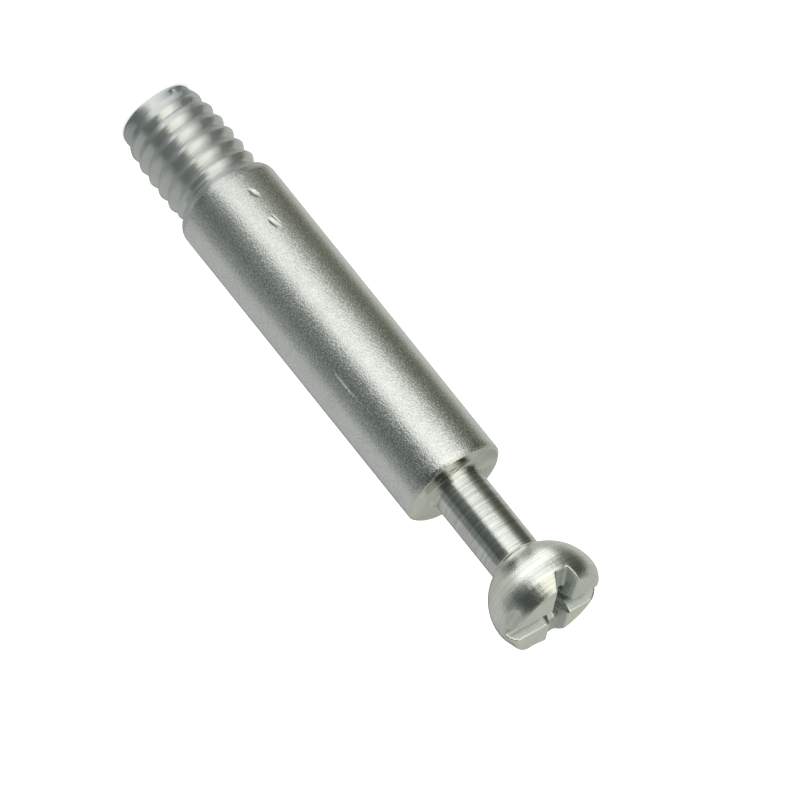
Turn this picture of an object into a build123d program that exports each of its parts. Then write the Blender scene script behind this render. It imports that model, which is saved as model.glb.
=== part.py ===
"""A cam dowel: the steel connecting pin of flat-pack furniture, turned and rolled from one rod.

Millimetres. The dowel stands on its thread end: the origin is the centre of that flat end,
and +Z runs along the axis to the head that the cam grips.
"""
import os
from math import ceil, radians, tan

from build123d import *

# Thread end
thread_diameter = 5.88
thread_core_diameter = 4.84
thread_pitch = 1.0
thread_crest_width = 0.34
thread_crest_round = 0.1
thread_flank_angle = 60
thread_start_height = -0.56
thread_length = 6.42
tip_corner_radius = 0.3
lead_in_start = 0.25
lead_in_length = 1.2
run_out_diameter = 5.5
run_out_length = 0.35

# Shank
shank_diameter = 6.68
shank_length = 24.1
shoulder_angle = 45
shoulder_round_radius = 0.6
shank_edge_chamfer = 0.2

# Neck
neck_diameter = 3.4
neck_length = 6.25
neck_fillet_radius = 0.5

# Head
head_diameter = 7.06
head_underside_height = 2.95
head_dome_height = 1.15
head_flat_diameter = 5.7

# Cross recess, struck a little off the axis, out of square and turned
wing_depth = 0.74
wing_floor_width = 0.8
wing_draft_angle = 23
hub_mouth_diameter = 2.1
hub_draft_angle = 10
socket_depth = 2.3
socket_span = 3.4
socket_tip_span = 1.7
socket_tip_width = 0.6
recess_offset_x = -0.3
recess_offset_y = 0.2
recess_tilt_angle = 3
recess_turn_angle = 2.5

core_radius = thread_core_diameter / 2
thread_radius = thread_diameter / 2
shank_radius = shank_diameter / 2
neck_radius = neck_diameter / 2
head_radius = head_diameter / 2
head_flat_radius = head_flat_diameter / 2

shoulder_height = (shank_radius - core_radius) * tan(radians(shoulder_angle))
shoulder_top = thread_length + shoulder_height
shank_end = thread_length + shank_length
head_start = shank_end + neck_length
head_widest = head_start + head_underside_height
head_top = head_widest + head_dome_height

# The rolled thread: a right-hand ridge, its foot sunk in the core and its crest round. It grows
# from the tip over the lead-in, is rolled lower where it meets the shoulder, and is wound turn
# by turn, each turn meeting the next face to face.
ridge_foot = core_radius - thread_crest_round
crest_edge = thread_radius - thread_crest_round
crest_half = thread_crest_width / 2
foot_half = crest_half + (crest_edge - ridge_foot) * tan(radians(thread_flank_angle / 2))
ridge_turns = ceil((shoulder_top - thread_start_height) / thread_pitch)

with BuildPart() as thread_envelope:
    with BuildSketch(Plane.XZ):
        with BuildLine():
            Polyline(
                (0, lead_in_start),
                (core_radius, lead_in_start),
                (thread_radius, lead_in_start + lead_in_length),
                (thread_radius, thread_length - run_out_length),
                (run_out_diameter / 2, thread_length),
                (run_out_diameter / 2, shoulder_top),
                (0, shoulder_top),
                close=True,
            )
        make_face()
    revolve(axis=Axis.Z)

thread_turns = []
for turn in range(ridge_turns):
    with BuildPart() as thread_turn:
        with BuildLine() as ridge_path:
            Helix(
                pitch=thread_pitch,
                height=thread_pitch,
                radius=ridge_foot,
                center=(0, 0, thread_start_height + turn * thread_pitch),
            )
        ridge_start = Plane(origin=ridge_path.line @ 0, x_dir=(1, 0, 0), z_dir=ridge_path.line % 0)
        with BuildSketch(ridge_start):
            with BuildLine():
                Polyline(
                    (crest_edge - ridge_foot, crest_half),
                    (0, foot_half),
                    (0, -foot_half),
                    (crest_edge - ridge_foot, -crest_half),
                )
                ThreePointArc(
                    (crest_edge - ridge_foot, -crest_half),
                    (thread_radius - ridge_foot, 0),
                    (crest_edge - ridge_foot, crest_half),
                )
            make_face()
        sweep(path=ridge_path.line, is_frenet=True)
        add(thread_envelope.part, mode=Mode.INTERSECT)
    thread_turns.append(thread_turn.part)

# The cross recess: four wings that run out through the side of the head, and a deeper socket
# with a round hub for the driver's point.
wing_span = head_diameter + 2 * wing_depth
hub_floor_radius = hub_mouth_diameter / 2 - socket_depth * tan(radians(hub_draft_angle))
recess_centre = (recess_offset_x, recess_offset_y, head_top)
recess_mouth = Plane(origin=recess_centre).rotated((recess_tilt_angle, 0, recess_turn_angle))
with BuildPart() as cross_recess:
    with BuildSketch(recess_mouth.offset(-wing_depth)):
        Rectangle(wing_span, wing_floor_width)
        Rectangle(wing_floor_width, wing_span)
    extrude(amount=2 * wing_depth, taper=-wing_draft_angle)

    with BuildSketch(recess_mouth.offset(-socket_depth)):
        Rectangle(socket_tip_span, socket_tip_width)
        Rectangle(socket_tip_width, socket_tip_span)
    with BuildSketch(recess_mouth.offset(-wing_depth)):
        Rectangle(socket_span, wing_floor_width)
        Rectangle(wing_floor_width, socket_span)
    loft(ruled=True)

    with BuildSketch(recess_mouth.offset(-socket_depth)):
        Circle(hub_floor_radius)
    extrude(amount=socket_depth + wing_depth, taper=-hub_draft_angle)

# The turned blank in one outline: thread core, shoulder, shank, neck and ball-shaped head
with BuildPart() as dowel:
    with BuildSketch(Plane.XZ):
        with BuildLine():
            Polyline(
                (head_flat_radius, head_top),
                (0, head_top),
                (0, 0),
                (core_radius, 0),
                (core_radius, thread_length),
                (shank_radius, shoulder_top),
                (shank_radius, shank_end),
                (neck_radius, shank_end),
                (neck_radius, head_start),
            )
            TangentArc((head_radius, head_widest), (neck_radius, head_start), tangent=(0, -1))
            TangentArc((head_radius, head_widest), (head_flat_radius, head_top), tangent=(0, 1))
        make_face()
    revolve(axis=Axis.Z)

    rings = dowel.edges().filter_by(GeomType.CIRCLE).sort_by(Axis.Z)
    tip_ring = rings[0]
    shoulder_ring = rings.filter_by_position(Axis.Z, shoulder_top, shoulder_top)[0]
    shank_end_rings = rings.filter_by_position(Axis.Z, shank_end, shank_end).sort_by(SortBy.RADIUS)
    neck_ring = shank_end_rings[0]
    shank_edge = shank_end_rings[-1]
    fillet(tip_ring, tip_corner_radius)
    fillet(shoulder_ring, shoulder_round_radius)
    fillet(neck_ring, neck_fillet_radius)
    chamfer(shank_edge, shank_edge_chamfer)

    for turn_solid in thread_turns:
        add(turn_solid)
    add(cross_recess.part, mode=Mode.SUBTRACT)

os.makedirs("parts", exist_ok=True)
dowel.part.label = "dowel"
export_step(dowel.part, "parts/dowel.step")
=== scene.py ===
"""A cam dowel, the steel connecting pin of flat-pack furniture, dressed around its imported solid.

Metres, in the frame of the solid: the dowel stands on its thread end and +Z runs to the head.
"""

from math import atan2, cos, exp, hypot, pi, radians, sin, sqrt, tan
from types import SimpleNamespace

import bmesh
import bpy
from bpy.props import FloatProperty, FloatVectorProperty, IntProperty, PointerProperty
from bpy.types import Operator, Panel, PropertyGroup
from mathutils import Matrix, Vector


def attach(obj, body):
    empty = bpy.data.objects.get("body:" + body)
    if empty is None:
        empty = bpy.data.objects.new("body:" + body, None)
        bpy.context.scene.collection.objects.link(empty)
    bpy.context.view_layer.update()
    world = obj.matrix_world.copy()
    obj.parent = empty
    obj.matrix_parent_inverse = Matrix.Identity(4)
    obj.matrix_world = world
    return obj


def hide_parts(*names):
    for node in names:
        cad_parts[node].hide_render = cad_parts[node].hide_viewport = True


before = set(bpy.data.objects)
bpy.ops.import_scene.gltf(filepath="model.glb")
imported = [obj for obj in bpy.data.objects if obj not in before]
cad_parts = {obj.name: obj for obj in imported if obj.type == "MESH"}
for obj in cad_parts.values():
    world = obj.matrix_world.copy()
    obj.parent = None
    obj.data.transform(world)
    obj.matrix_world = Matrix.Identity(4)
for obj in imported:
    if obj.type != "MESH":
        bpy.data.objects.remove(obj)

bl_info = {
    "name": "Cam dowel",
    "version": (1, 0, 0),
    "blender": (4, 5, 0),
    "location": "3D View > Sidebar > Cam Dowel",
    "description": "Models the plated steel cam dowel and the studio that shows it",
    "category": "Object",
}

MM = 0.001
# Painted reflections: tones of glowing grey sheets that stand and lie around the dowel, which
# only the metal sees and which paint its light and dark bands. Polished metal has little colour
# of its own, and shows these. The first three lists are for sheets reflected at a low angle, by
# the shank, the neck and the thread, and go by degrees around the dowel from the view azimuth.
# So does the fourth, for the near sheets seen from well above. The last two go by the azimuth of
# the surface that reflects them: the head's underside, and all that faces upwards.
LOW_TONES = [(-180, "#9d9d9d"), (-160, "#afb0ad"), (-138, "#b0b1ac"), (-124, "#8e8f88"),
             (-110, "#5f6055"), (-90, "#5d5e53"), (-76, "#6f7066"), (-58, "#8b8d87"),
             (-34, "#d2d3d0"), (-8, "#dadbd8"), (2, "#c8c9c6"), (11, "#787b79"), (26, "#696d6c"),
             (40, "#5b6260"), (52, "#545b59"), (56, "#717674"), (78, "#727775"),
             (85, "#a0a0a0"), (140, "#9f9f9f"), (152, "#9b9b9b"), (164, "#6b6c69"),
             (176, "#6b6c69")]
NECK_TONES = [(-180, "#9d9d9d"), (-138, "#b0b1ac"), (-124, "#8e8f88"), (-108, "#464a45"),
              (-80, "#484d49"), (-64, "#8b8d87"), (-52, "#e6e6e4"), (-8, "#ffffff"),
              (2, "#e0e1de"), (11, "#5c605e"), (26, "#4a4e4d"), (50, "#3f4543"), (56, "#6a6f6d"),
              (78, "#727775"), (85, "#a6a6a6"), (140, "#9f9f9f"), (164, "#6b6c69")]
NEAR_TONES = [(-180, "#989898"), (-110, "#a2a3a2"), (-94, "#959695"), (-80, "#7d7f7f"),
              (-68, "#4c504f"), (-60, "#515654"), (-50, "#808482"), (-41, "#999c9a"),
              (-31, "#b5b7b5"), (-18, "#cccdcb"), (-4, "#dcddda"), (4, "#c6c8c5"),
              (11, "#989b99"), (18, "#6c706f"), (26, "#505453"), (44, "#4c504e"),
              (54, "#6f7373"), (66, "#808382"), (90, "#8a8c8b"), (130, "#8e908f")]
NEAR_HIGH_TONES = [(-180, "#959695"), (-100, "#8a8c8a"), (-72, "#5c605e"), (-56, "#8a8e8b"),
                   (-40, "#b9bab9"), (-20, "#d2d2d1"), (6, "#d2d2d1"), (14, "#9c9e9c"),
                   (24, "#585c5a"), (56, "#585c5a"), (80, "#8a8c8b")]
HIGH_TONES = [(-90, "#a3a49f"), (-66, "#b4b5b0"), (-52, "#6f7068"), (-42, "#6f7068"),
              (-30, "#f8f8f6"), (6, "#ffffff"), (14, "#b0b2af"), (30, "#a4a6a3"), (48, "#a9aaa7"),
              (90, "#a3a49f")]
UPPER_TONES = [(-90, "#a0a19b"), (-66, "#9c9d97"), (-58, "#41443d"), (-40, "#3c3f39"),
               (-30, "#a9aaa5"), (-20, "#f2efe6"), (-5, "#efece2"), (1, "#5a5f5c"),
               (6, "#3a3f3c"), (25, "#3a3f3c"), (33, "#8a8d8a"), (48, "#9a9b98"),
               (90, "#a0a09d")]
# Nicks, a scratch and a dimple from the tumbling: azimuth and turn in degrees; height, half
# width, half length and depth in millimetres; and the cuts that make the mesh there fine enough,
# 0 where the dent before has done so.
DENTS = [(-89.9, 20, 9.2, 0.27, 0.52, 0.07, 5), (-86.5, 16, 11.5, 0.26, 0.58, 0.08, 5),
         (-91, 8, 11.35, 0.09, 0.5, 0.05, 0), (-37, 0.5, 22.4, 0.08, 2.2, 0.034, 5),
         (-103, 0, 0.44, 0.36, 0.24, 0.1, 2)]
# A knock that pressed the head's rim flat and a swelling of the metal beside the recess: the
# azimuth, radius and height of the point, then the azimuth and elevation that it faces, its depth
# and its reach, or the swelling's reach and height (degrees and mm).
HEAD_KNOCK = (-17.6, 3.365, 40.36, -18, 27, 0.08, 1.5)
HEAD_SWELL = (52, 3.05, 40.6, 0.6, 0.26)
# Where the dowel's three meshes meet (mm): a height on the shank, a distance below the head, and
# the gap left between the first two.
SHANK_SEAM, NECK_SEAM, SEAM_GAP = 8, 0.6, 0.2
# Where the finish changes (mm): how far the dies' smooth track reaches past the thread's end, how
# deep in the head the struck metal starts, and how far below its top.
ROLLED_PAST, STRUCK_DEPTH, STRUCK_BELOW = 0.9, 0.12, 0.1
# The numbers of the five finishes, in the order of the dowel's material slots.
THREAD, SHANK, NECK, HEAD, RECESS = range(5)
TIP_RINGS = (0.1, 0.2, 0.3)  # heights (mm) at which the tip gets rings, so that it can be rounded
TOLERANCE = 0.01  # mm
# Heights of the points on the axis from which the tones of the last two lists are set out.
HEAD_HEIGHT, MIDDLE_HEIGHT = 38 * MM, 20 * MM
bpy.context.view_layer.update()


def linear(hex_colour):
    """An sRGB hex colour as linear red, green and blue."""
    parts = [int(hex_colour[i:i + 2], 16) / 255 for i in (1, 3, 5)]
    return tuple(c / 12.92 if c <= 0.04045 else ((c + 0.055) / 1.055) ** 2.4 for c in parts)


def length(name, size, description):
    """A length property in metres, from a size in millimetres."""
    return FloatProperty(name=name, default=size * MM, precision=5, subtype="DISTANCE",
                         unit="LENGTH", description=description)


def angle(name, degrees, description):
    """An angle property."""
    return FloatProperty(name=name, default=radians(degrees), subtype="ANGLE", unit="ROTATION",
                         description=description)


def factor(name, value, description):
    """A plain number from 0 to 1."""
    return FloatProperty(name=name, default=value, min=0, max=1, subtype="FACTOR",
                         description=description)


def colour(name, hex_colour, description):
    """A colour property."""
    return FloatVectorProperty(name=name, default=linear(hex_colour), size=3, min=0, max=1,
                               subtype="COLOR", description=description)


class DowelShape(PropertyGroup):
    """Sizes of the turned, rolled and headed dowel."""
    thread_radius: length("Thread radius", 2.94, "Radius over the rolled crests")
    core_radius: length("Core radius", 2.42, "Radius at the thread's root")
    pitch: length("Pitch", 1.0, "Rise of the thread in one turn")
    root_radius: length("Root radius", 2.6, "Radius at the bottom of the rolled groove")
    crest_width: length("Crest width", 0.42, "Width of the low-domed crest before it is rounded")
    crest_rise: length("Crest rise", 0.05, "How much the crest domes up over its edges")
    root_width: length("Root width", 0.04, "Flat of the groove before it is rounded")
    crest_round: length("Crest rounding", 0.24, "How far the crest's rounding reaches")
    crest_top_round: length("Crest top rounding", 0.08, "How far the rounding on top reaches")
    root_round: length("Root rounding", 0.02, "How far the groove's rounding reaches")
    thread_start: length("Thread start", -0.56, "Height of the ridge's middle at zero degrees")
    thread_end: length("Thread end", 6.42, "Height where the thread meets the shoulder")
    lead_in_start: length("Lead-in start", 0.3, "Height where the ridge starts to grow")
    lead_in_length: length("Lead-in length", 1.2, "Rise over which the ridge grows")
    run_out_radius: length("Run-out radius", 2.75, "Ridge radius where it meets the shoulder")
    run_out_length: length("Run-out length", 0.35, "Height over which the ridge gets lower")
    tip_round: length("Tip rounding", 0.3, "Rounding of the thread end's rim")
    shank_radius: length("Shank radius", 3.34, "Radius of the plain shank")
    shank_end: length("Shank end", 30.52, "Height of the shank's flat end face")
    shoulder_round: length("Shoulder rounding", 1.0, "Rounding where the shoulder meets the shank")
    shank_chamfer: length("Shank chamfer", 0.2, "Chamfer at the shank's end face")
    edge_round: length("Edge rounding", 0.04, "Rounding along the chamfer's two edges")
    neck_radius: length("Neck radius", 1.7, "Radius of the slim neck")
    neck_fillet: length("Neck fillet", 0.5, "Fillet between the end face and the neck")
    head_start: length("Head start", 36.77, "Height where the ball head meets the neck")
    head_top: length("Head top", 40.87, "Height of the head's top")
    head_radius: length("Head radius", 3.53, "Largest radius of the head")
    dome_height: length("Dome height", 1.15, "Height of the head's top over its widest ring")
    head_flat_radius: length("Head flat radius", 2.85, "Radius of the head's flat top")
    grain: length("Head mesh size", 0.07, "Edge length of the head's mesh")
    around: IntProperty(name="Segments", default=128, min=32, max=256,
                        description="Segments around the axis")


class DowelFinish(PropertyGroup):
    """Colours and sheen of the zinc plate, zone by zone."""
    thread_colour: colour("Thread", "#ebefed", "Zinc over the rolled thread, a little cool")
    shank_colour: colour("Shank", "#f4f8f3", "Zinc over the drawn shank")
    neck_colour: colour("Neck", "#ecefe8", "Zinc over the turned neck")
    head_colour: colour("Head", "#eff3eb", "Zinc over the headed ball")
    # Darker than the head's zinc: this darker colour paints shade into the recess.
    recess_colour_and_shade: colour("Recess", "#c9cfcb", "Zinc in the struck recess")
    thread_roughness: factor("Thread roughness", 0.17, "Sheen of the rolled thread")
    shank_roughness: factor("Shank roughness", 0.17, "Sheen of the drawn shank")
    neck_roughness: factor("Neck roughness", 0.11, "Sheen of the turned neck")
    head_roughness: factor("Head roughness", 0.22, "Sheen of the headed ball")
    recess_roughness: factor("Recess roughness", 0.27, "Sheen of the struck recess")


class StudioSettings(PropertyGroup):
    """The camera, the floor and the glowing sheets whose painted tones the metal reflects."""
    view_azimuth: angle("View azimuth", -62, "Where the camera stands around the dowel")
    view_elevation: angle("View elevation", 20.5, "Height of the camera over the horizon")
    view_roll: angle("View roll", 141.2, "Turn of the camera about its own axis")
    view_distance: length("View distance", 1584, "From the aim point to the camera")
    aim_height: length("Aim height", 24.15, "Height of the aim point on the axis")
    aim_side: length("Aim side", -0.6, "Aim point's offset to the camera's level right")
    lens: FloatProperty(name="Focal length", default=1200, min=1, unit="CAMERA",
                        description="Focal length for a 36 mm sensor")
    floor_radius: length("Floor radius", 3000, "Radius of the pale floor")
    # The lying boards and standing screens are glowing sheets that only the metal sees; their
    # tones paint its reflections.
    sheet_height: length("Sheet height", 0.02, "Height of the lying boards over the floor")
    sheet_gap: length("Sheet gap", 2.2, "Radius left free of boards under the thread end")
    near_radius: length("Near radius", 17, "Radius of the boards that the thread reflects")
    far_radius: length("Far radius", 85, "Radius of the boards that the shank reflects")
    tent_radius: length("Tent radius", 1000, "Distance of the standing screens")
    tent_height: length("Tent height", 1700, "Height of the standing screens")
    # Glow of those sheets, which no lamp lights: it sets how bright the painted reflections are.
    sheet_glow: FloatProperty(name="Sheet light", default=1.4, min=0,
                               description="Light on the boards and screens")
    floor_colour: colour("Floor", "#dadad8", "Matt white laminate")
    floor_lift: factor("Floor lift", 0.55, "Light added to the floor so that it looks white")
    lamp_size: length("Lamp size", 300, "Diameter of the overhead softbox")
    lamp_power: FloatProperty(name="Lamp power", default=0.4, min=0, unit="POWER",
                              description="Power of the overhead softbox")
    lamp_place: FloatVectorProperty(name="Lamp place", default=(0.1, -0.1, 0.5), size=3,
                                    subtype="TRANSLATION", unit="LENGTH",
                                    description="Place of the overhead softbox")


def add_node(tree, kind, settings=None, values=None, links=None):
    """Adds a node: its own settings, the values of its sockets, and what is linked to them."""
    node = tree.nodes.new(kind)
    for name, value in (settings or {}).items():
        setattr(node, name, value)
    for name, value in (values or {}).items():
        node.inputs[name].default_value = value
    for name, output in (links or {}).items():
        tree.links.new(output, node.inputs[name])
    return node


def new_material(name):
    """An empty node material and its tree."""
    material = bpy.data.materials.new(name)
    material.use_nodes = True
    material.node_tree.nodes.clear()
    return material, material.node_tree


def plated_steel(name, base, roughness, marks, pebble, mottle=0.1, streaks=0.0, speckle=0.0,
                 haze=0.0):
    """Zinc plate on steel. marks is the spacing and the depth of the turning marks that run around
    the axis, pebble the size and the depth of the grain; mottle is how much the colour varies in
    clouds, streaks how much it varies along the marks, and speckle how much from grain to grain;
    haze is the share of dull, rough plate between the smooth."""
    material, tree = new_material(name)
    coords = add_node(tree, "ShaderNodeTexCoord")
    # The marks run on for some 6 mm around the axis, the clouds are some 2 mm across.
    stretched = add_node(tree, "ShaderNodeVectorMath", {"operation": "MULTIPLY"},
                         {1: (0.3 / MM, 0.3 / MM, 1 / marks[0])}, {0: coords.outputs["Object"]})
    turned = add_node(tree, "ShaderNodeTexNoise", values={"Scale": 0.5, "Detail": 4,
                                                          "Roughness": 0.7},
                      links={"Vector": stretched.outputs[0]})
    grain = add_node(tree, "ShaderNodeTexNoise", values={"Scale": 1 / pebble[0], "Detail": 2,
                                                         "Roughness": 0.6},
                     links={"Vector": coords.outputs["Object"]})
    cloud = add_node(tree, "ShaderNodeTexNoise", values={"Scale": 0.6 / MM, "Detail": 5,
                                                         "Roughness": 0.65},
                     links={"Vector": coords.outputs["Object"]})
    clouds = add_node(tree, "ShaderNodeMapRange", values={"From Min": 0.3, "From Max": 0.7,
                                                          "To Min": 1 - mottle, "To Max": 1},
                      links={"Value": cloud.outputs["Fac"]})
    lines = add_node(tree, "ShaderNodeMapRange", values={"From Min": 0.35, "From Max": 0.6,
                                                         "To Min": 1 - streaks, "To Max": 1},
                     links={"Value": turned.outputs["Fac"]})
    specks = add_node(tree, "ShaderNodeMapRange", values={"From Min": 0.4, "From Max": 0.6,
                                                          "To Min": 1 - speckle, "To Max": 1},
                      links={"Value": grain.outputs["Fac"]})
    shade = add_node(tree, "ShaderNodeMath", {"operation": "MULTIPLY"},
                     links={0: clouds.outputs[0], 1: lines.outputs[0]})
    shades = add_node(tree, "ShaderNodeMath", {"operation": "MULTIPLY"},
                      links={0: shade.outputs[0], 1: specks.outputs[0]})
    tint = add_node(tree, "ShaderNodeVectorMath", {"operation": "SCALE"}, {0: base},
                    {"Scale": shades.outputs[0]})
    smooth, rough = roughness * (0.8 - speckle), roughness * (1.2 + 3 * speckle)
    sheen = add_node(tree, "ShaderNodeMapRange", values={"From Min": 0.35, "From Max": 0.65,
                                                         "To Min": smooth, "To Max": rough},
                     links={"Value": grain.outputs["Fac"]})
    ridges = add_node(tree, "ShaderNodeBump", values={"Strength": 1, "Distance": marks[1]},
                      links={"Height": turned.outputs["Fac"]})
    pebbles = add_node(tree, "ShaderNodeBump", values={"Strength": 1, "Distance": pebble[1]},
                       links={"Height": grain.outputs["Fac"], "Normal": ridges.outputs[0]})
    surface = add_node(tree, "ShaderNodeBsdfPrincipled", values={"Metallic": 1},
                       links={"Base Color": tint.outputs[0], "Roughness": sheen.outputs[0],
                              "Normal": pebbles.outputs[0]})
    if haze:
        dull = add_node(tree, "ShaderNodeBsdfPrincipled", values={"Metallic": 1, "Roughness": 0.8},
                        links={"Base Color": tint.outputs[0], "Normal": pebbles.outputs[0]})
        surface = add_node(tree, "ShaderNodeMixShader", values={0: haze},
                           links={1: surface.outputs[0], 2: dull.outputs[0]})
    add_node(tree, "ShaderNodeOutputMaterial", links={"Surface": surface.outputs[0]})
    return material


def tone_ramp(tree, tones, vector):
    """Colour by the angle of a vector around Z: a list of degrees and sRGB colours with soft
    steps between them."""
    around = add_node(tree, "ShaderNodeTexGradient", {"gradient_type": "RADIAL"},
                      links={"Vector": vector})
    ramp = add_node(tree, "ShaderNodeValToRGB", links={"Fac": around.outputs["Fac"]})
    stops = ramp.color_ramp.elements
    stops.remove(stops[1])
    for index, (degrees, hex_colour) in enumerate(tones):
        position = degrees / 360 + 0.5
        stop = stops.new(position) if index else stops[0]
        stop.position = position
        stop.color = (*linear(hex_colour), 1)
    return ramp.outputs["Color"]


def from_camera_side(tree, studio, height=0.0):
    """Position around a point of the dowel's axis, turned so that X runs to the camera's side."""
    coords = add_node(tree, "ShaderNodeTexCoord")
    placed = add_node(tree, "ShaderNodeVectorMath", {"operation": "SUBTRACT"}, {1: (0, 0, height)},
                      {0: coords.outputs["Object"]})
    turned = add_node(tree, "ShaderNodeVectorRotate", {"rotation_type": "Z_AXIS"},
                      {"Angle": -studio.view_azimuth}, {"Vector": placed.outputs[0]})
    return turned.outputs[0]


def mirror_normal(tree, studio, height):
    """Level part of the surface normal, at a height on the axis, that reflects this point of the
    sheet to the camera: half way between the directions to the point and to the camera."""
    outward = add_node(tree, "ShaderNodeVectorMath", {"operation": "NORMALIZE"},
                       links={0: from_camera_side(tree, studio, height)})
    added = add_node(tree, "ShaderNodeVectorMath", {"operation": "ADD"},
                     {1: (cos(studio.view_elevation), 0, 0)}, {0: outward.outputs[0]})
    # Noise makes the painted tones' edges ragged, which paints fine streaks into the head's
    # reflections.
    by_height = add_node(tree, "ShaderNodeVectorMath", {"operation": "MULTIPLY"},
                         {1: (1, 1, 9)}, {0: outward.outputs[0]})
    ragged = add_node(tree, "ShaderNodeTexNoise", values={"Scale": 1, "Detail": 2},
                      links={"Vector": by_height.outputs[0]})
    shift = add_node(tree, "ShaderNodeMapRange", values={"To Min": -0.3, "To Max": 0.3},
                     links={"Value": ragged.outputs["Fac"]})
    sideways = add_node(tree, "ShaderNodeCombineXYZ", links={1: shift.outputs[0]})
    moved = add_node(tree, "ShaderNodeVectorMath", {"operation": "ADD"},
                     links={0: added.outputs[0], 1: sideways.outputs[0]})
    level = add_node(tree, "ShaderNodeVectorMath", {"operation": "MULTIPLY"}, {1: (1, 1, 0)},
                     {0: moved.outputs[0]})
    return level.outputs[0]


def seen_tones(tree, studio, height, tones, plain, steep, level):
    """Painted reflection: colour of a sheet chosen by the surface that reflects it to the camera,
    with one plain tone where that surface faces nearly up or down: steep and level bound the mix
    by the level normal's length."""
    normal = mirror_normal(tree, studio, height)
    size = add_node(tree, "ShaderNodeVectorMath", {"operation": "LENGTH"}, links={0: normal})
    side = add_node(tree, "ShaderNodeMapRange", values={"From Min": steep, "From Max": level},
                    links={"Value": size.outputs["Value"]})
    mixed = add_node(tree, "ShaderNodeMix", {"data_type": "RGBA"}, {6: (*linear(plain), 1)},
                     {0: side.outputs[0], 7: tone_ramp(tree, tones, normal)})
    return mixed.outputs[2]


def glowing_reflection_sheet(name, studio, seen):
    """Sheet that glows with painted reflection tones and is lit by no lamp: seen is a function of
    the node tree and the studio that gives the colour."""
    material, tree = new_material(name)
    light = add_node(tree, "ShaderNodeEmission", values={"Strength": studio.sheet_glow},
                     links={"Color": seen(tree, studio)})
    add_node(tree, "ShaderNodeOutputMaterial", links={"Surface": light.outputs[0]})
    return material


def by_angle(tree, low_colour, high_colour):
    """Painted reflection: one colour where a lying sheet is seen at a low angle, under some 33
    degrees, and another from well above, over some 44 degrees."""
    angle_seen = add_node(tree, "ShaderNodeLayerWeight", values={"Blend": 0.5})
    low = add_node(tree, "ShaderNodeMapRange", values={"From Min": 0.3, "From Max": 0.46},
                   links={"Value": angle_seen.outputs["Facing"]})
    mixed = add_node(tree, "ShaderNodeMix", {"data_type": "RGBA"},
                     links={0: low.outputs[0], 6: high_colour, 7: low_colour})
    return mixed.outputs[2]


def near_painted_reflection(tree, studio):
    """Painted reflection tones of the glowing sheet close around the tip, which the thread
    reflects.
    """
    place = from_camera_side(tree, studio)
    return by_angle(tree, tone_ramp(tree, NEAR_TONES, place),
                    tone_ramp(tree, NEAR_HIGH_TONES, place))


def painted_low_and_head_reflection(tree, studio, tones):
    """Painted reflection tones of glowing sheets that the underside of the head reflects from
    above, with others for what reflects them at a low angle."""
    return by_angle(tree, tone_ramp(tree, tones, from_camera_side(tree, studio)),
                    seen_tones(tree, studio, HEAD_HEIGHT, HIGH_TONES, plain="#a0a19c",
                               steep=0.8, level=1.15))


def far_painted_reflection(tree, studio):
    """Painted reflection tones of the glowing sheet farther out, which the shank reflects at a low
    angle.
    """
    return painted_low_and_head_reflection(tree, studio, LOW_TONES)


def outer_painted_reflection(tree, studio):
    """Painted reflection tones of the outermost glowing sheet, which the neck reflects at a low
    angle.
    """
    return painted_low_and_head_reflection(tree, studio, NECK_TONES)


def painted_upward_reflection(tree, studio):
    """Painted reflection tones of the standing and roof sheets, which all that faces upwards
    reflects.
    """
    return seen_tones(tree, studio, MIDDLE_HEIGHT, UPPER_TONES, plain="#a1a39c", steep=0.5,
                      level=1.0)


def floor_material(base, lift):
    """Matt white laminate. What the camera, the metal and any glass see of it is lifted to white,
    and it keeps the dowel's shadow."""
    material, tree = new_material("matt_white_laminate")
    path = add_node(tree, "ShaderNodeLightPath")
    seen = add_node(tree, "ShaderNodeMath", {"operation": "ADD", "use_clamp": True},
                    links={0: path.outputs["Is Camera Ray"], 1: path.outputs["Is Glossy Ray"]})
    shown = add_node(tree, "ShaderNodeMath", {"operation": "ADD", "use_clamp": True},
                     links={0: seen.outputs[0], 1: path.outputs["Is Transmission Ray"]})
    strength = add_node(tree, "ShaderNodeMath", {"operation": "MULTIPLY"}, {1: lift},
                        {0: shown.outputs[0]})
    paint = add_node(tree, "ShaderNodeBsdfDiffuse", values={"Color": (*base, 1)})
    glow = add_node(tree, "ShaderNodeEmission", values={"Color": (1, 1, 1, 1)},
                    links={"Strength": strength.outputs[0]})
    both = add_node(tree, "ShaderNodeAddShader", links={0: paint.outputs[0], 1: glow.outputs[0]})
    add_node(tree, "ShaderNodeOutputMaterial", links={"Surface": both.outputs[0]})
    return material


def in_millimetres(shape):
    """The dowel's sizes in millimetres, in which its mesh is made: Blender's mesh tools have fixed
    tolerances that are too coarse for a part this small in metres."""
    sizes = {name: getattr(shape, name) / MM for name in shape.__annotations__}
    return SimpleNamespace(**{**sizes, "around": shape.around})


def chain(bm, points):
    """Vertices at (radius, height) in the XZ plane, joined in a line by edges."""
    verts = [bm.verts.new((r, 0, z)) for r, z in points]
    for pair in zip(verts, verts[1:]):
        bm.edges.new(pair)
    return verts


def round_corner(bm, vert, radius, segments):
    """Rounds one corner of a profile by a vertex bevel."""
    return bmesh.ops.bevel(bm, geom=[vert], offset=radius, offset_type="OFFSET",
                           affect="VERTICES", segments=segments, profile=0.5, material=-1)


def ring_at(bm, height):
    """The open edges that lie at one height."""
    return [e for e in bm.edges
            if e.is_boundary and all(abs(v.co.z - height) < TOLERANCE for v in e.verts)]


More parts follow.
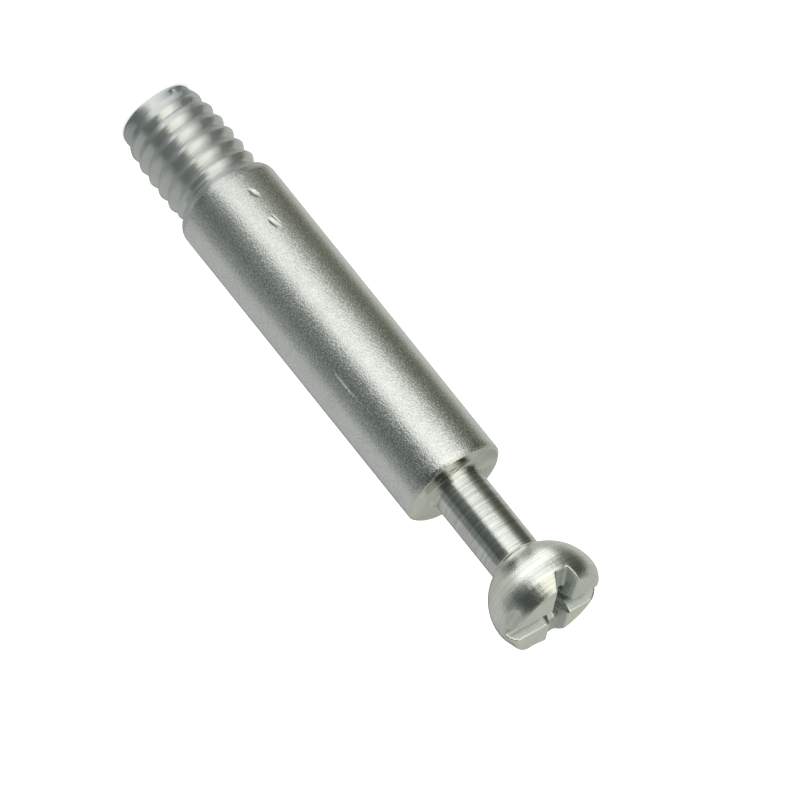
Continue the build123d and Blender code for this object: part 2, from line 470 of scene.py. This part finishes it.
def join_rings(bm, low, high):
    """Closes the gap between the open rings at two heights. The upper ring is widened so that a
    flat fill can run between them, and then put back."""
    upper_edges = ring_at(bm, high)
    upper = {v: v.co.copy() for e in upper_edges for v in e.verts}
    for vert in upper:
        widen(vert, 1.2)
    bmesh.ops.triangle_fill(bm, use_beauty=True, normal=(0, 0, 1),
                            edges=ring_at(bm, low) + upper_edges)
    for vert, place in upper.items():
        vert.co = place


def cut(bm, height, above=True, below=True):
    """Cuts the mesh at a height, and keeps what is above or below it or both."""
    bmesh.ops.bisect_plane(bm, geom=bm.verts[:] + bm.edges[:] + bm.faces[:], dist=1e-5,
                           plane_co=(0, 0, height), plane_no=(0, 0, 1),
                           clear_inner=not below, clear_outer=not above)


def subdivide_line(bm, step):
    """Divides the edges of an outline that are longer than a step."""
    for edge in bm.edges[:]:
        cuts = int(edge.calc_length() / step)
        if cuts:
            bmesh.ops.subdivide_edges(bm, edges=[edge], cuts=cuts)


def add_part(bm, part):
    """Adds a finished part to the dowel's mesh."""
    mesh = bpy.data.meshes.new("part")
    part.to_mesh(mesh)
    part.free()
    bm.from_mesh(mesh)
    bpy.data.meshes.remove(mesh)


def widen(vert, stretch):
    """Moves a vertex out from the axis, or in to it."""
    vert.co.x *= stretch
    vert.co.y *= stretch


def add_object(name, bm, materials):
    """Turns a finished bmesh into an object at the origin."""
    mesh = bpy.data.meshes.new(name)
    bm.to_mesh(mesh)
    bm.free()
    for material in materials:
        mesh.materials.append(material)
    piece = bpy.data.objects.new(name, mesh)
    bpy.context.scene.collection.objects.link(piece)
    return piece


def blank_outline(shape, height):
    """Radius of the turned blank at a height: rounded tip, core, shoulder and shank."""
    core = shape.core_radius
    if height < shape.tip_round:
        drop = shape.tip_round - max(height, 0)
        core -= shape.tip_round - sqrt(max(shape.tip_round ** 2 - drop ** 2, 0))
    top = shape.thread_end + shape.shank_radius - shape.core_radius
    blank = max(core, core + height - shape.thread_end)
    # The rounding between the shoulder's cone and the shank is an arc tangent to both.
    reach = shape.shoulder_round * tan(radians(22.5))
    if height > top - reach * cos(radians(45)):
        over = max(top + reach - height, 0)
        blank = shape.shank_radius - shape.shoulder_round + sqrt(
            max(shape.shoulder_round ** 2 - over ** 2, 0))
    return min(blank, shape.shank_radius)


def rolled_radius(shape, vert):
    """Radius of a point of the thread once the ridge is given its height: it grows slowly from
    the tip, turn by turn, and is lower where it meets the shoulder."""
    radius, height = hypot(vert.co.x, vert.co.y), vert.co.z
    blank = blank_outline(shape, height)
    ridge = shape.thread_start + atan2(vert.co.y, vert.co.x) / (2 * pi) * shape.pitch
    ridge += round((height - ridge) / shape.pitch) * shape.pitch
    growth = 1 - exp(-max(ridge - shape.lead_in_start, 0) / shape.lead_in_length)
    ending = (height - shape.thread_end + shape.run_out_length) / shape.run_out_length
    top = shape.thread_radius - min(max(ending, 0), 1) * (shape.thread_radius
                                                          - shape.run_out_radius)
    core = min(blank, shape.core_radius)
    return max(blank, min(core + (radius - shape.core_radius) * growth, top))


def rolled_thread(bm, shape, join):
    """The right-hand thread, its rounded tip and the shoulder: one pitch of the thread's profile
    spun upwards turn by turn, cut flat at the tip and at the join."""
    crest, root, pitch = shape.thread_radius, shape.root_radius, shape.pitch
    edge = crest - shape.crest_rise
    crest_half, root_half = shape.crest_width / 2, shape.root_width / 2
    # The first turns start below the tip, so that the cut there goes through whole ones.
    start = shape.thread_start - 2.5 * pitch
    verts = chain(bm, [(root, start), (root, start + root_half),
                       (edge, start + pitch / 2 - crest_half), (crest, start + pitch / 2),
                       (edge, start + pitch / 2 + crest_half),
                       (root, start + pitch - root_half), (root, start + pitch)])
    for vert in (verts[2], verts[4]):
        round_corner(bm, vert, shape.crest_round, 5)
    for vert in (verts[1], verts[5]):
        round_corner(bm, vert, shape.root_round, 2)
    round_corner(bm, verts[3], shape.crest_top_round, 2)
    subdivide_line(bm, 0.05)
    bmesh.ops.spin(bm, geom=bm.verts[:] + bm.edges[:], cent=(0, 0, 0), axis=(0, 0, 1),
                   dvec=(0, 0, pitch / shape.around), angle=2 * pi, steps=shape.around)
    turn = bm.verts[:] + bm.edges[:] + bm.faces[:]
    for rise in range(1, 3 + int((join - shape.thread_start) / pitch + 1)):
        copy = bmesh.ops.duplicate(bm, geom=turn)["geom"]
        bmesh.ops.translate(bm, vec=(0, 0, rise * pitch),
                            verts=[v for v in copy if isinstance(v, bmesh.types.BMVert)])
    bmesh.ops.remove_doubles(bm, verts=bm.verts[:], dist=1e-3)
    for level in TIP_RINGS:
        cut(bm, level)
    cut(bm, 0, below=False)
    cut(bm, join, above=False)
    for vert in bm.verts:
        widen(vert, rolled_radius(shape, vert) / hypot(vert.co.x, vert.co.y))
    face = bmesh.ops.contextual_create(bm, geom=ring_at(bm, 0))["faces"]
    bmesh.ops.inset_region(bm, faces=face, thickness=0.05)


def plain_shank(bm, shape, join, neck_top):
    """Shank, end face and neck: the outline in a few corners, the corners rounded, then spun."""
    chamfer = shape.shank_chamfer
    verts = chain(bm, [(shape.shank_radius, join),
                       (shape.shank_radius, shape.shank_end - chamfer),
                       (shape.shank_radius - chamfer, shape.shank_end),
                       (shape.neck_radius, shape.shank_end), (shape.neck_radius, neck_top)])
    round_corner(bm, verts[3], shape.neck_fillet, 8)
    for vert in verts[1:3]:
        round_corner(bm, vert, shape.edge_round, 2)
    subdivide_line(bm, 0.4)
    bmesh.ops.spin(bm, geom=bm.verts[:] + bm.edges[:], cent=(0, 0, 0), axis=(0, 0, 1),
                   angle=2 * pi, steps=shape.around, use_merge=True)


def press_dents(bm, shape):
    """Presses the small dents into the turned surface, on a finer mesh than the rest of it."""
    for azimuth, turn, height, half_width, half_length, depth, cuts in DENTS:
        centre = point_at(azimuth, blank_outline(shape, height), height)
        lean = sin(radians(turn)), cos(radians(turn))
        margin = 0.3

        def place(point):
            """Where a point lies in the dent: 0 in its middle and 1 at its edge."""
            offset = point - centre
            side = centre.x * offset.y - centre.y * offset.x
            side /= hypot(centre.x, centre.y)
            return hypot((side * lean[1] + offset.z * lean[0]) / half_width,
                         (offset.z * lean[1] - side * lean[0]) / half_length)

        def near(point):
            """Whether a point is on this side of the dowel and close to the dent."""
            return (point - centre).length < half_length + 2 * margin and point.dot(centre) > 0

        if cuts:
            faces = [f for f in bm.faces if near(f.calc_center_median())
                     and place(f.calc_center_median()) < 1 + margin / half_width]
            edges = dict.fromkeys(e for f in faces for e in f.edges)
            bmesh.ops.subdivide_edges(bm, edges=list(edges), cuts=cuts, use_grid_fill=True)
        for vert in bm.verts:
            radius, turned = hypot(vert.co.x, vert.co.y), blank_outline(shape, vert.co.z)
            if near(vert.co) and abs(radius - turned) < TOLERANCE:
                inside = max(1 - place(vert.co), 0)
                widen(vert, (turned - depth * inside * inside * (3 - 2 * inside)) / radius)


def point_at(azimuth, radius, height):
    """A point from its azimuth in degrees, its radius and its height."""
    return Vector((radius * cos(radians(azimuth)), radius * sin(radians(azimuth)), height))


def head_rim(shape):
    """Height of the head's open rim on the neck, a little over the neck's own."""
    return shape.head_start - NECK_SEAM + 2 * shape.grain


def even_mesh(bm, size):
    """The same closed solid with an even mesh, its edges of one size."""
    blank = add_object("head_blank", bm, [])
    remesh = blank.modifiers.new("Even mesh", "REMESH")
    remesh.mode = "VOXEL"
    remesh.voxel_size = size
    bpy.context.view_layer.update()
    seen = blank.evaluated_get(bpy.context.evaluated_depsgraph_get())
    even = bmesh.new()
    even.from_mesh(seen.to_mesh())
    seen.to_mesh_clear()
    source = blank.data
    bpy.data.objects.remove(blank)
    bpy.data.meshes.remove(source)
    return even


def mark_head(bm):
    """Presses the knock into the head's rim and raises the swelling beside the recess."""
    azimuth, radius, height, faces, tilt, depth, reach = HEAD_KNOCK
    point, normal = point_at(azimuth, radius, height), point_at(faces, 1, tan(radians(tilt)))
    normal.normalize()
    for vert in bm.verts:
        above = (vert.co - point).dot(normal) + depth
        if above > 0 and (vert.co - point).length < reach:
            vert.co -= above * normal
    azimuth, radius, height, reach, rise = HEAD_SWELL
    point, outward_and_up = point_at(azimuth, radius, height), point_at(azimuth, 0.8, 0.6)
    for vert in bm.verts:
        vert.co += rise * exp(-((vert.co - point).length / reach) ** 2) * outward_and_up


def struck_head(shape, neck_top):
    """The ball head with its struck recess: the solid's own head, merged, cut in the neck, closed,
    meshed evenly and smoothed, so that its edges are as round as struck and plated ones."""
    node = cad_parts["dowel"]
    bm = bmesh.new()
    bm.from_mesh(node.data)
    bmesh.ops.scale(bm, vec=Vector((1, 1, 1)) / MM, verts=bm.verts[:])
    bmesh.ops.remove_doubles(bm, verts=bm.verts[:], dist=1e-4)
    # The smoothing rounds the closed end too, so there the head starts lower and is cut again.
    start = neck_top - 6 * shape.grain
    cut(bm, start, below=False)
    bmesh.ops.contextual_create(bm, geom=ring_at(bm, start))
    bmesh.ops.recalc_face_normals(bm, faces=bm.faces[:])
    bm = even_mesh(bm, shape.grain)
    # Three rounds of smoothing round the struck edges by about 0.1 mm.
    for _ in range(3):
        bmesh.ops.smooth_vert(bm, verts=bm.verts[:], factor=0.5, use_axis_x=True,
                              use_axis_y=True, use_axis_z=True)
    mark_head(bm)
    cut(bm, head_rim(shape), below=False)
    for vert in {v for e in ring_at(bm, head_rim(shape)) for v in e.verts}:
        widen(vert, shape.neck_radius / hypot(vert.co.x, vert.co.y))
    return bm


def blank_radius(shape, height):
    """Radius of the head's turned outline at a height: one arc up to the widest ring, and another
    up to the flat top."""
    widest = shape.head_top - shape.dome_height
    rise, run = shape.dome_height, shape.head_radius - shape.head_flat_radius
    if height < widest:
        rise, run = widest - shape.head_start, shape.head_radius - shape.neck_radius
    curve = (rise ** 2 + run ** 2) / (2 * run)
    return shape.head_radius - curve + sqrt(max(curve ** 2 - (height - widest) ** 2, 0))


def finish_at(shape, place):
    """The number of the finish that the plate has at a place on the dowel."""
    if place.z > shape.head_start:
        inside = blank_radius(shape, place.z) - hypot(place.x, place.y) > STRUCK_DEPTH
        struck = inside and place.z < shape.head_top - STRUCK_BELOW
        return RECESS if struck else HEAD
    if place.z > shape.shank_end - TOLERANCE:
        return NECK
    return SHANK if place.z > shape.thread_end + ROLLED_PAST else THREAD


def zinc_finishes(finish):
    """The five materials, in the order of their numbers. All are one carbon steel rod, drawn,
    headed, turned and rolled, then plated with clear zinc. The plate is a few micrometres thick
    and keeps the grain and the marks of what is under it."""
    return [
        # Rolled between dies: dense and glossy with a thin haze, and a faint grain.
        plated_steel("zinc_plate_rolled_thread", finish.thread_colour, finish.thread_roughness,
                     (0.2 * MM, 0.004 * MM), (0.12 * MM, 0.006 * MM), haze=0.3),
        # Drawn bar, tumbled before plating: satin, with a fine pebbled grain that breaks every
        # reflection into sparks. It is drawn at 0.11 mm, coarser than the real one, to show.
        plated_steel("zinc_plate_drawn_shank", finish.shank_colour, finish.shank_roughness,
                     (0.4 * MM, 0.0005 * MM), (0.11 * MM, 0.02 * MM), speckle=0.22),
        # Turned on a lathe: bright, with the tool's marks around the neck at 0.08 mm.
        plated_steel("zinc_plate_turned_neck", finish.neck_colour, finish.neck_roughness,
                     (0.08 * MM, 0.012 * MM), (0.1 * MM, 0.004 * MM), mottle=0.18, streaks=0.3),
        # Cold headed, then turned: satin, with marks around the axis at 0.06 mm.
        plated_steel("zinc_plate_headed_ball", finish.head_colour, finish.head_roughness,
                     (0.06 * MM, 0.012 * MM), (0.1 * MM, 0.006 * MM), mottle=0.06, streaks=0.2),
        # Struck by a punch: smooth and a little duller, where less zinc reaches; its darker colour
        # is painted shade in the recess.
        plated_steel("zinc_plate_struck_recess", finish.recess_colour_and_shade, finish.recess_roughness,
                     (0.4 * MM, 0.0005 * MM), (0.12 * MM, 0.004 * MM)),
    ]


class CAMDOWEL_OT_dowel(Operator):
    """Model the plated steel dowel in place of its plain solid"""
    bl_idname = "camdowel.dowel"
    bl_label = "Dowel"

    def execute(self, context):
        shape, finish = in_millimetres(context.scene.dowel_shape), context.scene.dowel_finish
        neck_top = shape.head_start - NECK_SEAM
        bm, shank = bmesh.new(), bmesh.new()
        rolled_thread(bm, shape, SHANK_SEAM)
        plain_shank(shank, shape, SHANK_SEAM + SEAM_GAP, neck_top)
        add_part(bm, shank)
        join_rings(bm, SHANK_SEAM, SHANK_SEAM + SEAM_GAP)
        add_part(bm, struck_head(shape, neck_top))
        join_rings(bm, neck_top, head_rim(shape))
        press_dents(bm, shape)
        bmesh.ops.recalc_face_normals(bm, faces=bm.faces[:])
        open_edges = sum(1 for e in bm.edges if not e.is_manifold)
        if open_edges:
            raise RuntimeError(f"the dowel's mesh has {open_edges} open edges")
        for face in bm.faces:
            face.smooth = True
            face.material_index = finish_at(shape, face.calc_center_median())
        bmesh.ops.scale(bm, vec=Vector((MM, MM, MM)), verts=bm.verts[:])
        piece = add_object("cam_dowel", bm, zinc_finishes(finish))
        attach(piece, "root")
        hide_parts("dowel")
        return {"FINISHED"}


def reflected_sheet(name, outline, material):
    """A sheet that only the metal sees: an outline of (radius, height) spun around the dowel."""
    bm = bmesh.new()
    chain(bm, outline)
    bmesh.ops.spin(bm, geom=bm.verts[:] + bm.edges[:], cent=(0, 0, 0), axis=(0, 0, 1),
                   angle=2 * pi, steps=90, use_merge=True)
    sheet = add_object(name, bm, [material])
    sheet.visible_camera = False
    sheet.visible_diffuse = False
    sheet.visible_transmission = False
    sheet.visible_volume_scatter = False
    sheet.visible_shadow = False


class CAMDOWEL_OT_studio(Operator):
    """Set up the floor, the glowing sheets that paint the metal's reflections, the light and the
    camera
    """
    bl_idname = "camdowel.studio"
    bl_label = "Studio"

    def execute(self, context):
        scene, studio = context.scene, context.scene.dowel_studio
        bm = bmesh.new()
        bmesh.ops.create_circle(bm, cap_ends=True, segments=96, radius=studio.floor_radius)
        floor = add_object("floor", bm, [floor_material(studio.floor_colour, studio.floor_lift)])

        low, reach, top = studio.sheet_height, studio.tent_radius, studio.tent_height
        gap, near, far = studio.sheet_gap, studio.near_radius, studio.far_radius
        # Glowing sheets that only the metal sees, with painted tones for its reflections.
        reflected_sheet("near_sheet", [(gap, low), (near, low)],
                        glowing_reflection_sheet("near_painted_reflection", studio, near_painted_reflection))
        reflected_sheet("far_sheet", [(near, low), (far, low)],
                        glowing_reflection_sheet("far_painted_reflection", studio, far_painted_reflection))
        reflected_sheet("outer_sheet", [(far, low), (reach, low)],
                        glowing_reflection_sheet("outer_painted_reflection", studio, outer_painted_reflection))
        # The standing and roof sheets glow with the painted reflection tones of all that faces
        # upwards.
        screens = glowing_reflection_sheet("screens", studio, painted_upward_reflection)
        reflected_sheet("standing_sheet", [(reach, 0), (reach, top)], screens)
        # The roof rises from the screens' top edge to a point over the dowel.
        reflected_sheet("roof_sheet", [(reach, top), (0, 1.6 * top)], screens)

        world = bpy.data.worlds.new("white_room")
        world.use_nodes = True
        world.node_tree.nodes.clear()
        sky = add_node(world.node_tree, "ShaderNodeBackground",
                       values={"Color": (1, 1, 1, 1), "Strength": 1})
        add_node(world.node_tree, "ShaderNodeOutputWorld", links={"Surface": sky.outputs[0]})
        scene.world = world

        lamp = bpy.data.lights.new("overhead_softbox", "AREA")
        lamp.shape, lamp.size, lamp.energy = "DISK", studio.lamp_size, studio.lamp_power
        softbox = bpy.data.objects.new("overhead_softbox", lamp)
        softbox.visible_glossy = False
        softbox.location = studio.lamp_place
        softbox.rotation_euler = (-softbox.location).to_track_quat("-Z", "Y").to_euler()
        scene.collection.objects.link(softbox)

        turn = (Matrix.Rotation(studio.view_azimuth + pi / 2, 3, "Z")
                @ Matrix.Rotation(pi / 2 - studio.view_elevation, 3, "X"))
        aim = Vector((0, 0, studio.aim_height)) + turn @ Vector((studio.aim_side, 0, 0))
        lens = bpy.data.cameras.new("camera")
        lens.lens, lens.sensor_width = studio.lens, 36
        lens.clip_start, lens.clip_end = 0.01, 20
        camera = bpy.data.objects.new("camera", lens)
        camera.rotation_euler = (turn @ Matrix.Rotation(studio.view_roll, 3, "Z")).to_euler()
        camera.location = aim + turn @ Vector((0, 0, studio.view_distance))
        scene.collection.objects.link(camera)
        scene.camera = camera
        scene.view_settings.view_transform = "Standard"
        return {"FINISHED"}


class CAMDOWEL_PT_panel(Panel):
    """Lists the dowel's and the studio's operators and settings"""
    bl_idname = "CAMDOWEL_PT_panel"
    bl_label = "Cam dowel"
    bl_space_type = "VIEW_3D"
    bl_region_type = "UI"
    bl_category = "Cam Dowel"

    def draw(self, context):
        for group, operator in (("dowel_shape", None), ("dowel_finish", "camdowel.dowel"),
                                ("dowel_studio", "camdowel.studio")):
            settings = getattr(context.scene, group)
            for name in settings.__annotations__:
                self.layout.prop(settings, name)
            if operator:
                self.layout.operator(operator)


CLASSES = (DowelShape, DowelFinish, StudioSettings, CAMDOWEL_OT_dowel, CAMDOWEL_OT_studio,
           CAMDOWEL_PT_panel)


def register():
    """Makes the classes and the scene's settings known to Blender."""
    for cls in CLASSES:
        bpy.utils.register_class(cls)
    bpy.types.Scene.dowel_shape = PointerProperty(type=DowelShape)
    bpy.types.Scene.dowel_finish = PointerProperty(type=DowelFinish)
    bpy.types.Scene.dowel_studio = PointerProperty(type=StudioSettings)


def unregister():
    """Takes them out again."""
    for group in ("dowel_shape", "dowel_finish", "dowel_studio"):
        delattr(bpy.types.Scene, group)
    for cls in reversed(CLASSES):
        bpy.utils.unregister_class(cls)


def main():
    register()
    bpy.ops.camdowel.dowel()
    bpy.ops.camdowel.studio()


if __name__ == "__main__":
    main()
